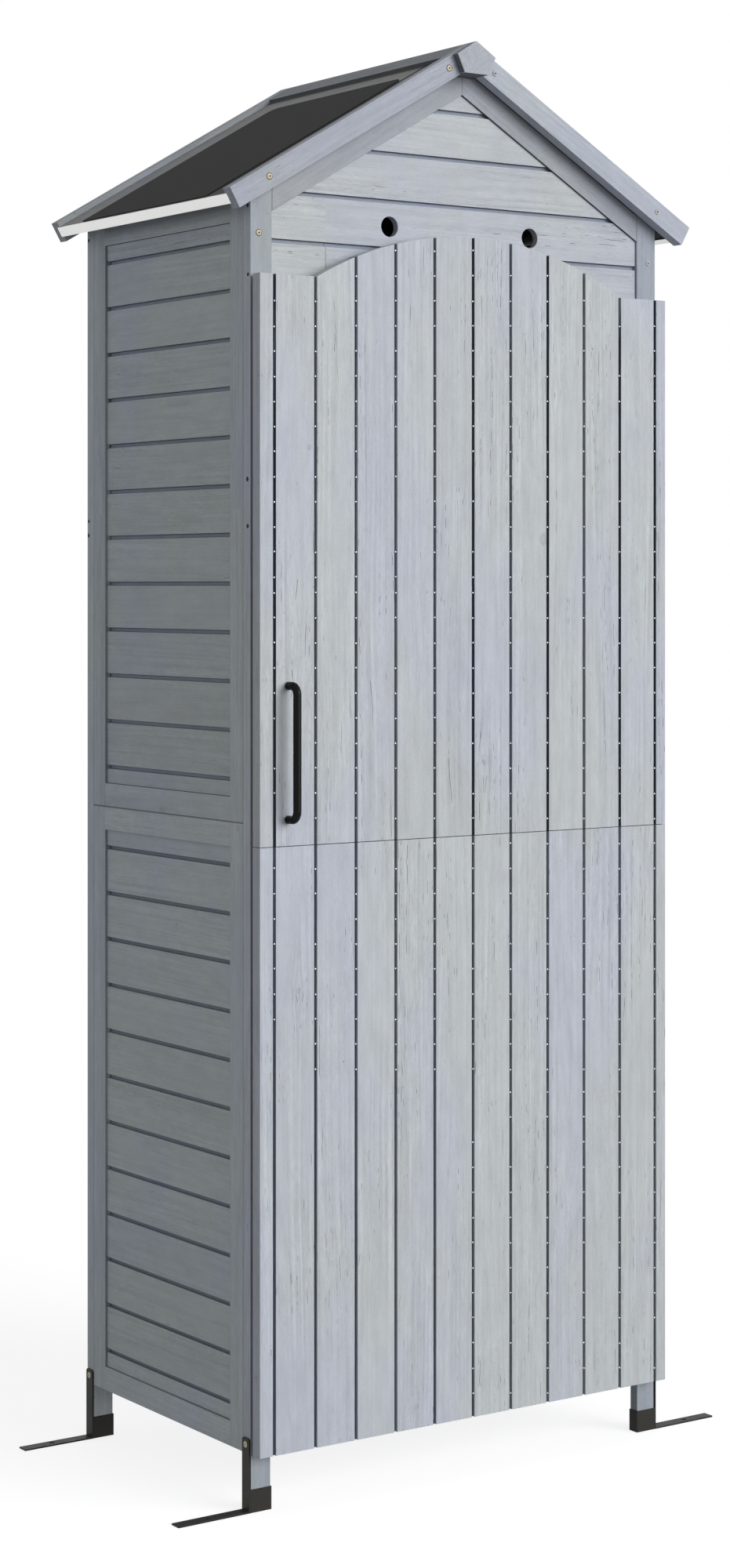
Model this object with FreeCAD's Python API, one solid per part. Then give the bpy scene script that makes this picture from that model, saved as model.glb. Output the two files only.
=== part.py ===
import FreeCAD, Part
import math
import os

# Tall narrow timber garden cabinet: four legs, panelled sides and back, a boarded
# front gable with two vents, a pitched roof and one hinged door of upright slats.
# Millimetres. +X is to the right of someone facing the door, +Y runs from the door
# to the back, +Z is up. The origin is on the ground, under the middle of the whole.

os.makedirs("parts", exist_ok=True)

# Driving dimensions of the body
body_width = 628.0
body_depth = 396.0
post_width = 30.0
post_depth = 16.0
leg_clearance = 70.0
panel_split = 823.0
panel_roof_gap = 2.5
panel_thickness = 16.0
stile_width = 30.0
rail_width = 30.0
sill_height = 30.0
header_height = 30.0

# Boards and slats, lapped so that a groove shows between neighbours
board_pitch = 59.0
board_thickness = 10.0
board_recess = 3.0
groove_width = 5.0
groove_depth = 4.0
first_strip = 23.7
narrowest_strip = 6.0

# Roof and gables
ridge_height = 1786.0
roof_pitch = 30.26
roof_overhang = 21.0
gable_rail_width = 33.6
gable_base_drop = 51.0
gable_base_board = 55.0
short_board_length = 80.0
vent_radius = 12.5
vent_spacing = 218.0
vent_above_base = 25.5
barge_width = 27.0
barge_thickness = 16.0
barge_length = 412.0
ridge_half_width = 29.5
ridge_shoulder_drop = 18.2
ridge_foot_half_width = 18.5
ridge_depth = 41.0
ridge_nose = 10.0
deck_below_barge = 6.0
deck_thickness = 12.3
rail_roof_gap = 2.7
felt_thickness = 1.5
felt_front_border = 44.0
felt_rear_border = 62.0
felt_ridge_border = 42.0
felt_corner = 14.0
drip_thickness = 1.5
drip_lip = 8.0
drip_height = 13.2
drip_lap = 4.0

# Door
door_thickness = 16.0
door_bottom = 70.0
door_split = 796.0
door_joint_gap = 0.8
door_over_header = 10.0
arch_rise = 62.0
arch_side_slat_count = 2
first_slat = 22.8
slat_groove = 4.5
ledge_height = 50.0
ledge_thickness = 12.0
ledge_side_gap = 3.0
ledge_end_gap = 10.0

# Handle, a bent round bar
handle_bar_radius = 5.0
handle_hole_spacing = 160.0
handle_projection = 25.0
handle_corner = 11.0
handle_from_edge = 40.0
handle_centre_height = 908.0

# Hinges
hinge_gap = 5.0
hinge_leaf_thickness = 2.0
hinge_leaf_width = 25.0
hinge_leaf_height = 64.0
hinge_end_distance = 90.0
knuckle_radius = 3.5
knuckle_gap = 0.4
hinge_pin_radius = 1.5
hinge_pin_clearance = 0.05
hinge_pin_head_radius = 2.6
hinge_pin_head_height = 1.5
hinge_screw_spacing = 40.0

# Magnetic catches
catch_width = 13.0
catch_height = 46.0
catch_end_distance = 180.0
strike_thickness = 1.2
strike_height = 40.0
catch_gap = 0.6

# Feet and ground brackets
cap_wall = 1.2
cap_height = 28.0
cap_floor = 2.0
bracket_thickness = 2.0
bracket_width = 16.0
bracket_height = 89.0
bracket_reach = 100.0
bracket_corner = 4.0
bracket_screw_drop = 8.0
slot_from_tip = 43.0
slot_length = 8.0
slot_width = 5.0

# Floor and shelves
floor_height = 100.0
deck_board_thickness = 12.0
deck_board_count = 5
deck_board_gap = 3.0
cleat_size = 20.0
lower_shelf_height = 560.0
upper_shelf_height = 1020.0

# Fasteners
screw_radius = 2.0
screw_head_radius = 3.8
screw_head_height = 1.2
screw_clearance = 0.2
post_screw_length = 35.0
barge_screw_length = 40.0
bracket_screw_length = 24.0
handle_screw_length = 24.0
post_screw_inset = 11.7
post_screw_end = 30.0
post_screw_top_drop = 46.0
barge_screw_from_ridge = 48.8
barge_screw_from_corner = 7.8
barge_screw_depth = 13.2
small_screw_radius = 1.5
small_screw_head_radius = 3.0
small_screw_head_height = 1.4
small_screw_length = 12.0

# Small allowances for the modelling itself
cut_margin = 1.0
tolerance = 1e-6

# Places that follow from the sizes above
pitch_angle = math.radians(roof_pitch)
half_width = body_width / 2
inner_half = half_width - post_width
wall_inner = half_width - panel_thickness
handle_reach = hinge_gap + door_thickness + handle_projection
front_reach = max(handle_reach, roof_overhang + ridge_nose)
rear_reach = roof_overhang + screw_head_height
post_front = (front_reach - body_depth - rear_reach) / 2
post_back = post_front + post_depth
body_rear = post_front + body_depth
rear_post_front = body_rear - post_depth
mid_depth = (post_front + body_rear) / 2
roof_front = post_front - roof_overhang
roof_rear = body_rear + roof_overhang
door_back = post_front - hinge_gap
door_front = door_back - door_thickness
deck_underside = deck_below_barge + deck_thickness
hanging_depth = deck_underside + rail_roof_gap
corner_slope_length = half_width / math.cos(pitch_angle)
sill_top = leg_clearance + sill_height
hinge_x = half_width + knuckle_gap + knuckle_radius
hinge_y = post_front - hinge_gap / 2
handle_x = handle_from_edge - half_width


def vector(x, y, z):
    return FreeCAD.Vector(x, y, z)


def box(x0, x1, y0, y1, z0, z1):
    return Part.makeBox(x1 - x0, y1 - y0, z1 - z0, vector(x0, y0, z0))


def rod(radius, start, direction, length):
    return Part.makeCylinder(radius, length, start, direction)


def prism_along_y(points, y0, y1):
    corners = [vector(x, y0, z) for x, z in points]
    face = Part.Face(Part.makePolygon(corners + corners[:1]))
    return face.extrude(vector(0, y1 - y0, 0))


def mirror_x(shape):
    return shape.mirror(vector(0, 0, 0), vector(1, 0, 0))


def mirror_y(shape):
    return shape.mirror(vector(0, mid_depth, 0), vector(0, 1, 0))


def cut_all(shape, tools):
    for tool in tools:
        shape = shape.cut(tool)
    return shape


def roof_line(depth, x):
    # height of a line that runs parallel to the roof slope, at a depth square to it
    return ridge_height - abs(x) * math.tan(pitch_angle) - depth / math.cos(pitch_angle)


# Heights under the roof, which go up and down with it
panel_top = roof_line(hanging_depth, half_width) - panel_roof_gap
gable_base = panel_top - gable_base_drop
header_top = gable_base - gable_base_board
header_bottom = header_top - header_height
door_shoulder = header_top + door_over_header
door_crown = door_shoulder + arch_rise


def on_slope(shape):
    # lays a shape on the right roof slope: its X becomes the distance down the slope
    # from the ridge line, and its Z the height square to the slope
    placed = shape.copy()
    placed.rotate(vector(0, 0, 0), vector(0, 1, 0), roof_pitch)
    placed.translate(vector(0, 0, ridge_height))
    return placed


def export(name, solids):
    shape = solids[0] if len(solids) == 1 else Part.makeCompound(solids)
    shape.exportStep("parts/" + name + ".step")


# Lapped boards: each has a rebate along one face edge, which shows as a groove

def strip_edges(low, high, first, pitch):
    # the edges of a row of strips: a first one of its own width, then full ones
    edges = [low]
    joint = low + first
    while joint < high - narrowest_strip:
        edges.append(joint)
        joint += pitch
    edges.append(high)
    return list(zip(edges[:-1], edges[1:]))


def lap_profile(low, high, thickness, groove, has_groove):
    # outline as (depth from the face, position across the row)
    if not has_groove:
        return [(0, low), (0, high), (thickness, high), (thickness, low)]
    return [
        (0, low),
        (0, high - groove),
        (groove_depth, high - groove),
        (groove_depth, high),
        (thickness, high),
        (thickness, low),
    ]


def board_along_x(low, high, x0, x1, face_y, inward, has_groove):
    profile = lap_profile(low, high, board_thickness, groove_width, has_groove)
    corners = [vector(x0, face_y + inward * depth, z) for depth, z in profile]
    face = Part.Face(Part.makePolygon(corners + corners[:1]))
    return face.extrude(vector(x1 - x0, 0, 0))


def board_along_y(low, high, y0, y1, face_x, inward, has_groove):
    profile = lap_profile(low, high, board_thickness, groove_width, has_groove)
    corners = [vector(face_x + inward * depth, y0, z) for depth, z in profile]
    face = Part.Face(Part.makePolygon(corners + corners[:1]))
    return face.extrude(vector(0, y1 - y0, 0))


# Fasteners and the holes that they need

def pan_screw(seat, direction, length, head_height=screw_head_height):
    head = rod(screw_head_radius, seat - direction * head_height, direction, head_height)
    shank = rod(screw_radius, seat, direction, length)
    return head.fuse(shank)


def pan_screw_hole(seat, direction, length):
    return rod(screw_radius + screw_clearance, seat, direction, length + screw_clearance)


def countersunk_screw(seat, direction):
    head = Part.makeCone(
        small_screw_head_radius, small_screw_radius, small_screw_head_height, seat, direction
    )
    shank = rod(small_screw_radius, seat, direction, small_screw_length)
    return head.fuse(shank)


def countersunk_hole(seat, direction):
    wide = small_screw_head_radius + screw_clearance
    narrow = small_screw_radius + screw_clearance
    head = Part.makeCone(wide, narrow, small_screw_head_height, seat, direction)
    shank = rod(narrow, seat, direction, small_screw_length + screw_clearance)
    return head.fuse(shank)


def post_screw_heights():
    low = leg_clearance + post_screw_end
    high = panel_top - post_screw_top_drop
    middle = panel_split - rail_width
    return [low, (low + middle) / 2, middle, (middle + high) / 2, high]


along_x = vector(1, 0, 0)
along_y = vector(0, 1, 0)
post_screw_x = half_width - post_screw_inset
post_middle = post_front + post_depth / 2
bracket_screw_height = bracket_height - bracket_screw_drop

post_seats = [vector(post_screw_x, post_front, z) for z in post_screw_heights()]
bracket_seat = vector(half_width + bracket_thickness, post_middle, bracket_screw_height)

barge_screw_places = [barge_screw_from_ridge, corner_slope_length - barge_screw_from_corner]
barge_seats = [vector(place, roof_front, -barge_screw_depth) for place in barge_screw_places]

post_screws = [pan_screw(seat, along_y, post_screw_length) for seat in post_seats]
post_screw_holes = [pan_screw_hole(seat, along_y, post_screw_length) for seat in post_seats]
bracket_screw = pan_screw(bracket_seat, -along_x, bracket_screw_length)
bracket_screw_hole = pan_screw_hole(bracket_seat, -along_x, bracket_screw_length)
barge_screws = [on_slope(pan_screw(seat, along_y, barge_screw_length)) for seat in barge_seats]
barge_holes = [on_slope(pan_screw_hole(seat, along_y, barge_screw_length)) for seat in barge_seats]


def four_corners(shape):
    # a shape made at the front right, repeated at the other three corners
    rear = mirror_y(shape)
    return {
        "front_right": shape,
        "front_left": mirror_x(shape),
        "rear_right": rear,
        "rear_left": mirror_x(rear),
    }


# Hinges: the pin stands beside the door's right edge, between door back and post

def hinge_heights():
    return [
        door_bottom + hinge_end_distance,
        door_split - hinge_end_distance,
        door_split + hinge_end_distance,
        door_shoulder - hinge_end_distance,
    ]


def hinge_leaf(height, y0, knuckles):
    # knuckles holds the height spans, from the leaf's middle, that wrap the pin
    low = height - hinge_leaf_height / 2
    plate_edge = half_width - knuckle_gap
    leaf = box(half_width - hinge_leaf_width, plate_edge, y0, y0 + hinge_leaf_thickness,
               low, low + hinge_leaf_height)
    for start, end in knuckles:
        base = vector(hinge_x, hinge_y, height + start)
        barrel = rod(knuckle_radius, base, vector(0, 0, 1), end - start)
        arm = box(plate_edge, hinge_x, y0, y0 + hinge_leaf_thickness,
                  height + start, height + end)
        leaf = leaf.fuse(arm).fuse(barrel)
    bore = rod(hinge_pin_radius + hinge_pin_clearance, vector(hinge_x, hinge_y, low - cut_margin),
               vector(0, 0, 1), hinge_leaf_height + 2 * cut_margin)
    return leaf.cut(bore).removeSplitter()


def hinge_screw_seats(height, y):
    x = half_width - hinge_leaf_width / 2
    return [vector(x, y, height + step * hinge_screw_spacing / 2) for step in (-1, 1)]


def hinge_pin(height):
    low = height - hinge_leaf_height / 2
    up = vector(0, 0, 1)
    pin = rod(hinge_pin_radius, vector(hinge_x, hinge_y, low), up, hinge_leaf_height)
    head = rod(hinge_pin_head_radius, vector(hinge_x, hinge_y, low + hinge_leaf_height), up,
               hinge_pin_head_height)
    foot = rod(hinge_pin_head_radius, vector(hinge_x, hinge_y, low - hinge_pin_head_height), up,
               hinge_pin_head_height)
    return pin.fuse(head).fuse(foot)


knuckle_span = hinge_leaf_height / 3
knuckle_edge = knuckle_span / 2
middle_knuckle = [(knuckle_gap - knuckle_edge, knuckle_edge - knuckle_gap)]
outer_knuckles = [(-hinge_leaf_height / 2, -knuckle_edge), (knuckle_edge, hinge_leaf_height / 2)]

post_leaf_y = post_front - hinge_leaf_thickness
door_leaf_y = door_back + hinge_leaf_thickness
post_leaf_seats = []
door_leaf_seats = []
for height in hinge_heights():
    post_leaf_seats += hinge_screw_seats(height, post_leaf_y)
    door_leaf_seats += hinge_screw_seats(height, door_leaf_y)
post_leaf_holes = [countersunk_hole(seat, along_y) for seat in post_leaf_seats]
door_leaf_holes = [countersunk_hole(seat, -along_y) for seat in door_leaf_seats]

post_leaves = [hinge_leaf(h, post_leaf_y, outer_knuckles) for h in hinge_heights()]
door_leaves = [hinge_leaf(h, door_back, middle_knuckle) for h in hinge_heights()]
export("hinge_leaves_post", [cut_all(leaf, post_leaf_holes) for leaf in post_leaves])
export("hinge_leaves_door", [cut_all(leaf, door_leaf_holes) for leaf in door_leaves])
export("hinge_pins", [hinge_pin(h) for h in hinge_heights()])
export("hinge_screws_post", [countersunk_screw(seat, along_y) for seat in post_leaf_seats])
export("hinge_screws_door", [countersunk_screw(seat, -along_y) for seat in door_leaf_seats])


# Posts: full section beside the panels, a thinner leg below, a slanted top

under_deck = prism_along_y(
    [
        (-half_width, 0),
        (half_width, 0),
        (half_width, roof_line(deck_underside, half_width)),
        (0, roof_line(deck_underside, 0)),
        (-half_width, roof_line(deck_underside, half_width)),
    ],
    post_front,
    body_rear,
)


def post_shape():
    upper = box(inner_half, half_width, post_front, post_back, leg_clearance, ridge_height)
    leg = box(inner_half + cap_wall, half_width - cap_wall, post_front + cap_wall,
              post_back - cap_wall, cap_floor, leg_clearance)
    post = upper.common(under_deck).fuse(leg).removeSplitter()
    return cut_all(post, post_screw_holes + [bracket_screw_hole])


for corner, post in four_corners(post_shape()).items():
    if corner == "front_right":
        post = cut_all(post, post_leaf_holes)
    export("post_" + corner, [post])

outer_cap = box(inner_half, half_width, post_front, post_back, 0, cap_height)
cap_hollow = box(inner_half + cap_wall, half_width - cap_wall, post_front + cap_wall,
                 post_back - cap_wall, cap_floor, cap_height)
for corner, cap in four_corners(outer_cap.cut(cap_hollow)).items():
    export("foot_cap_" + corner, [cap])


# Ground brackets: a bent strip on the outside of each leg, slotted for a ground screw

def bracket_shape():
    y0 = post_middle - bracket_width / 2
    y1 = y0 + bracket_width
    upright = box(half_width, half_width + bracket_thickness, y0, y1, 0, bracket_height)
    top_edges = [edge for edge in upright.Edges if edge.BoundBox.ZMin > bracket_height - tolerance
                 and edge.BoundBox.XLength > bracket_thickness / 2]
    upright = upright.makeFillet(bracket_corner, top_edges)
    tip = half_width + bracket_reach
    foot = box(half_width, tip, y0, y1, 0, bracket_thickness)
    slot_x = tip - slot_from_tip
    half_straight = (slot_length - slot_width) / 2
    slot = box(slot_x - half_straight, slot_x + half_straight, post_middle - slot_width / 2,
               post_middle + slot_width / 2, 0, bracket_thickness)
    for step in (-1, 1):
        end = vector(slot_x + step * half_straight, post_middle, 0)
        slot = slot.fuse(rod(slot_width / 2, end, vector(0, 0, 1), bracket_thickness))
    bracket = upright.fuse(foot).removeSplitter()
    return bracket.cut(slot).cut(bracket_screw_hole)


for corner, bracket in four_corners(bracket_shape()).items():
    export("ground_bracket_" + corner, [bracket])


# Side panels: a frame of stiles and rails around lapped boards

def side_frame(low, high):
    y0 = post_back
    y1 = rear_post_front
    front_stile = box(wall_inner, half_width, y0, y0 + stile_width, low, high)
    rear_stile = box(wall_inner, half_width, y1 - stile_width, y1, low, high)
    members = [cut_all(front_stile, post_screw_holes),
               cut_all(rear_stile, [mirror_y(hole) for hole in post_screw_holes])]
    for rail_low in (low, high - rail_width):
        members.append(box(wall_inner, half_width, y0 + stile_width, y1 - stile_width,
                           rail_low, rail_low + rail_width))
    return members


def side_boards(low, high):
    face = half_width - board_recess
    strips = strip_edges(low + rail_width, high - rail_width, first_strip, board_pitch)
    return [board_along_y(z0, z1, post_back + stile_width, rear_post_front - stile_width,
                          face, -1, z1 < high - rail_width)
            for z0, z1 in strips]


panel_spans = {"lower": (leg_clearance, panel_split), "upper": (panel_split, panel_top)}
for level, (low, high) in panel_spans.items():
    frame = side_frame(low, high)
    boards = side_boards(low, high)
    export("side_frame_right_" + level, frame)
    export("side_frame_left_" + level, [mirror_x(member) for member in frame])
    export("side_boards_right_" + level, boards)
    export("side_boards_left_" + level, [mirror_x(board) for board in boards])


# Back panels, between the rear posts

def back_frame(low, high):
    members = []
    for side in (-1, 1):
        x0, x1 = sorted((side * inner_half, side * (inner_half - stile_width)))
        members.append(box(x0, x1, rear_post_front, body_rear, low, high))
    for rail_low in (low, high - rail_width):
        members.append(box(stile_width - inner_half, inner_half - stile_width,
                           rear_post_front, body_rear, rail_low, rail_low + rail_width))
    return members


def back_boards(low, high):
    strips = strip_edges(low + rail_width, high - rail_width, first_strip, board_pitch)
    return [board_along_x(z0, z1, stile_width - inner_half, inner_half - stile_width,
                          body_rear - board_recess, -1, z1 < high - rail_width)
            for z0, z1 in strips]


back_spans = {"lower": (leg_clearance, panel_split), "upper": (panel_split, gable_base)}
for level, (low, high) in back_spans.items():
    export("back_frame_" + level, back_frame(low, high))
    export("back_boards_" + level, back_boards(low, high))


# Front opening: a sill under the floor and a header behind the top of the door

export("sill_rail", [box(-inner_half, inner_half, post_front, post_back, leg_clearance, sill_top)])
export("header_rail",
       [box(-inner_half, inner_half, post_front, post_back, header_bottom, header_top)])


# Ridge beam: five-sided, its upper faces a little steeper than the bargeboards

ridge_beam = prism_along_y(
    [
        (0, ridge_height),
        (ridge_half_width, ridge_height - ridge_shoulder_drop),
        (ridge_foot_half_width, ridge_height - ridge_depth),
        (-ridge_foot_half_width, ridge_height - ridge_depth),
        (-ridge_half_width, ridge_height - ridge_shoulder_drop),
    ],
    roof_front - ridge_nose,
    roof_rear,
)
export("ridge_beam", [ridge_beam])


# Gables: sloped rails mitred under the ridge, and level boards cut to fit below them

def gable_rail(side):
    inner_depth = hanging_depth + gable_rail_width
    rail = prism_along_y(
        [
            (0, roof_line(hanging_depth, 0)),
            (side * inner_half, roof_line(hanging_depth, inner_half)),
            (side * inner_half, roof_line(inner_depth, inner_half)),
            (0, roof_line(inner_depth, 0)),
        ],
        post_front,
        post_back,
    )
    return rail.cut(ridge_beam)


front_rails = [gable_rail(side) for side in (-1, 1)]
export("gable_rails_front", front_rails)
export("gable_rails_rear", [mirror_y(rail) for rail in front_rails])

rail_foot = roof_line(hanging_depth + gable_rail_width, inner_half)
rail_apex = roof_line(hanging_depth + gable_rail_width, 0)
board_field = prism_along_y(
    [
        (-inner_half, 0),
        (inner_half, 0),
        (inner_half, rail_foot),
        (0, rail_apex),
        (-inner_half, rail_foot),
    ],
    post_front,
    post_back,
)


def gable_board(low, high):
    board = board_along_x(low, high, -inner_half, inner_half, post_front + board_recess, 1,
                          high < rail_apex)
    return board.common(board_field)


def vent_hole(side):
    start = vector(side * vent_spacing / 2, post_front, gable_base + vent_above_base)
    return rod(vent_radius, start, along_y, post_depth)


gable_rows = strip_edges(gable_base, rail_apex, board_pitch, board_pitch)
upper_boards = [gable_board(low, high) for low, high in gable_rows[1:]]
vent_row = gable_board(*gable_rows[0])
base_board = gable_board(header_top, gable_base)
joint_x = short_board_length - inner_half
short_board = base_board.common(
    box(-inner_half, joint_x, post_front, post_back, header_top, gable_base))
long_board = base_board.common(
    box(joint_x, inner_half, post_front, post_back, header_top, gable_base))
export("gable_boards_front", [short_board, long_board] + upper_boards)
export("vent_board", [cut_all(vent_row, [vent_hole(side) for side in (-1, 1)])])
export("gable_boards_rear", [mirror_y(board) for board in [vent_row] + upper_boards])


# Roof: two decks, felt with a bare border, drip edges, and bargeboards at both ends

deck_front = roof_front + barge_thickness
deck_rear = roof_rear - barge_thickness
rear_barge_holes = [mirror_y(hole) for hole in barge_holes]


def bargeboard():
    board = on_slope(box(0, barge_length, roof_front, deck_front, -barge_width, 0))
    return cut_all(board, [ridge_beam] + barge_holes)


def roof_deck():
    deck = on_slope(box(0, barge_length, deck_front, deck_rear, -deck_underside,
                        -deck_below_barge))
    return cut_all(deck, [ridge_beam] + barge_holes + rear_barge_holes)


def roof_felt():
    start = ridge_half_width / math.cos(pitch_angle) + felt_ridge_border
    sheet = box(start, barge_length, deck_front + felt_front_border, deck_rear - felt_rear_border,
                -deck_below_barge, felt_thickness - deck_below_barge)
    upper_corners = [edge for edge in sheet.Edges if edge.BoundBox.XMax < start + tolerance
                     and edge.BoundBox.ZLength > felt_thickness / 2]
    return on_slope(sheet.makeFillet(felt_corner, upper_corners))


def drip_edge():
    low = -deck_underside - drip_thickness
    face = box(barge_length, barge_length + drip_thickness, deck_front - drip_lap,
               deck_rear + drip_lap, low, low + drip_height)
    lip = box(barge_length - drip_lip, barge_length, deck_front, deck_rear, low,
              -deck_underside)
    return on_slope(face.fuse(lip).removeSplitter())


barge_sets = {"front": bargeboard(), "rear": mirror_y(bargeboard())}
for end, barge in barge_sets.items():
    export("bargeboard_" + end + "_right", [barge])
    export("bargeboard_" + end + "_left", [mirror_x(barge)])
for name, piece in (("roof_deck", roof_deck()), ("roof_felt", roof_felt()),
                    ("drip_edge", drip_edge())):
    export(name + "_right", [piece])
    export(name + "_left", [mirror_x(piece)])

frame_screws = []
for screw in post_screws + barge_screws + [bracket_screw]:
    frame_screws += four_corners(screw).values()
export("frame_screws", frame_screws)


# Floor and shelves: loose-laid boards on cleats fixed to the side panels

def board_deck(top):
    low = top - deck_board_thickness
    room = rear_post_front - post_back - (deck_board_count - 1) * deck_board_gap
    width = room / deck_board_count
    starts = [post_back + k * (width + deck_board_gap) for k in range(deck_board_count)]
    return [box(-wall_inner, wall_inner, y, y + width, low, top) for y in starts]


deck_tops = {
    "floor_boards": floor_height + deck_board_thickness,
    "shelf_boards_lower": lower_shelf_height,
    "shelf_boards_upper": upper_shelf_height,
}
cleats = []
for name, top in deck_tops.items():
    export(name, board_deck(top))
    cleat_top = top - deck_board_thickness
    cleat = box(wall_inner - cleat_size, wall_inner, post_back, rear_post_front,
                cleat_top - cleat_size, cleat_top)
    cleats += [cleat, mirror_x(cleat)]
export("cleats", cleats)


# Magnetic catches on the left post, facing steel plates on the door

catch_heights = [door_bottom + catch_end_distance, door_shoulder - catch_end_distance]
catch_front = door_back + strike_thickness + catch_gap
catches = [box(-inner_half, catch_width - inner_half, catch_front, post_back,
               z - catch_height / 2, z + catch_height / 2) for z in catch_heights]
strikes = [box(-inner_half, catch_width - inner_half, door_back, door_back + strike_thickness,
               z - strike_height / 2, z + strike_height / 2) for z in catch_heights]
export("magnetic_catches", catches)
export("strike_plates", strikes)


# Door: lapped upright slats in two halves, with level ledges across the back

slats = strip_edges(-half_width, half_width, first_slat, board_pitch)
arch_left = slats[arch_side_slat_count][0]
arch_right = slats[-arch_side_slat_count][0]


def door_outline():
    left = vector(arch_left, door_front, door_shoulder)
    right = vector(arch_right, door_front, door_shoulder)
    crown = vector((arch_left + arch_right) / 2, door_front, door_crown)
    corners = [
        left,
        vector(-half_width, door_front, door_shoulder),
        vector(-half_width, door_front, door_bottom),
        vector(half_width, door_front, door_bottom),
        vector(half_width, door_front, door_shoulder),
        right,
    ]
    edges = list(Part.makePolygon(corners).Edges)
    edges.append(Part.Arc(right, crown, left).toShape())
    face = Part.Face(Part.Wire(edges))
    return face.extrude(vector(0, door_thickness, 0))


outline = door_outline()
handle_ends = [handle_centre_height + side * handle_hole_spacing / 2 for side in (-1, 1)]
handle_seats = [vector(handle_x, door_back, z) for z in handle_ends]
handle_holes = [pan_screw_hole(seat, -along_y, handle_screw_length) for seat in handle_seats]


def door_slats(low, high):
    made = []
    for x0, x1 in slats:
        profile = lap_profile(x0, x1, door_thickness, slat_groove, x1 < half_width)
        corners = [vector(x, door_front + depth, low) for depth, x in profile]
        face = Part.Face(Part.makePolygon(corners + corners[:1]))
        slat = face.extrude(vector(0, 0, high - low)).common(outline)
        made.append(cut_all(slat, handle_holes + door_leaf_holes))
    return made


export("door_slats_lower", door_slats(door_bottom, door_split - door_joint_gap / 2))
export("door_slats_upper", door_slats(door_split + door_joint_gap / 2, door_crown))

first_ledge = sill_top + ledge_end_gap + ledge_height / 2
last_ledge = header_bottom - ledge_end_gap - ledge_height / 2
ledge_heights = [
    first_ledge,
    (first_ledge + door_split) / 2,
    door_split,
    (door_split + last_ledge) / 2,
    last_ledge,
]
ledge_half = inner_half - ledge_side_gap
ledges = [box(-ledge_half, ledge_half, door_back, door_back + ledge_thickness,
              z - ledge_height / 2, z + ledge_height / 2) for z in ledge_heights]
handle_access = [rod(screw_head_radius + screw_clearance, seat, along_y, ledge_thickness)
                 for seat in handle_seats]
export("door_ledges", [cut_all(ledge, handle_access) for ledge in ledges])


def handle_bar():
    reach = door_front - handle_projection + handle_bar_radius
    low, high = handle_ends
    bend = handle_corner
    bulge = bend * (1 - math.sqrt(0.5))
    low_foot = vector(handle_x, door_front, low)
    low_start = vector(handle_x, reach + bend, low)
    low_mid = vector(handle_x, reach + bulge, low + bulge)
    low_end = vector(handle_x, reach, low + bend)
    high_start = vector(handle_x, reach, high - bend)
    high_mid = vector(handle_x, reach + bulge, high - bulge)
    high_end = vector(handle_x, reach + bend, high)
    high_foot = vector(handle_x, door_front, high)
    path = Part.Wire([
        Part.LineSegment(low_foot, low_start).toShape(),
        Part.Arc(low_start, low_mid, low_end).toShape(),
        Part.LineSegment(low_end, high_start).toShape(),
        Part.Arc(high_start, high_mid, high_end).toShape(),
        Part.LineSegment(high_end, high_foot).toShape(),
    ])
    section = Part.Wire(Part.makeCircle(handle_bar_radius, low_foot, -along_y))
    return path.makePipeShell([section], True, False)


export("handle", [cut_all(handle_bar(), handle_holes)])
export("handle_screws", [pan_screw(seat, -along_y, handle_screw_length) for seat in handle_seats])
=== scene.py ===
import math
import random
from collections import namedtuple

import bmesh
import bpy
from mathutils import Matrix, Vector


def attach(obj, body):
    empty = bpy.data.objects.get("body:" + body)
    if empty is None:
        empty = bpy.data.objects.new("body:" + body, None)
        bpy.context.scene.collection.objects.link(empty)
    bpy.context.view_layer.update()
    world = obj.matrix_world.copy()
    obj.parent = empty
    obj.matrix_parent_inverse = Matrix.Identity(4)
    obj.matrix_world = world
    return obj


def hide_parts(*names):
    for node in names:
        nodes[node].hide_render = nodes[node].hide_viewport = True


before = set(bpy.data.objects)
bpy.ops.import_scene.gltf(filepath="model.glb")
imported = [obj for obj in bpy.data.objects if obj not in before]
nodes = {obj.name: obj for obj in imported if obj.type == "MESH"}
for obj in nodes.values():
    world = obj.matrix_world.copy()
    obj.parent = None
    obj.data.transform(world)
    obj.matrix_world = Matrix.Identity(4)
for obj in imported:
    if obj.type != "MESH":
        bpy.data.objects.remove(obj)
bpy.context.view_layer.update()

# Sizes of the cabinet in metres, as in its drawing: +X right, +Y back, +Z up
HALF_WIDTH = 0.314
MID_DEPTH = 0.0119
POST_FRONT = -0.1861
POST_BACK = -0.1701
STILE_INNER = 0.152
BACK_STILE_INNER = 0.254
DOOR_FRONT = -0.2071
DOOR_SPLIT = 0.796
PANEL_SPLIT = 0.823
BOARD_PITCH = 0.059
SHELF_BOARD_PITCH = 0.0734
FIRST_SLAT = 0.0228
SLAT_ORIGIN = FIRST_SLAT - HALF_WIDTH
SLAT_GROOVE = 0.0045
BOARD_GROOVE = 0.005
SIDE_FACE = 0.311
BACK_FACE = 0.2069
GABLE_REACH = 0.195
LOWER_JOINT = 0.1237
UPPER_JOINT = 0.8767
GABLE_BASE = 1.525
SHORT_BOARD_END = -0.204
VENTS = ((-0.109, 1.5505, 0.0126), (0.109, 1.5505, 0.0126))
LEG_TOP = 0.0704
DOOR_BOTTOM = 0.070
DOOR_SHOULDER = 1.480
DOOR_CROWN = 1.542
ARCH_LEFT = -0.2322
ARCH_RIGHT = 0.2398
RIDGE_HEIGHT = 1.786
RIDGE_SHOULDER = 1.7678
FELT_FRONT = -0.1911
PITCH = math.radians(30.26)

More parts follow.
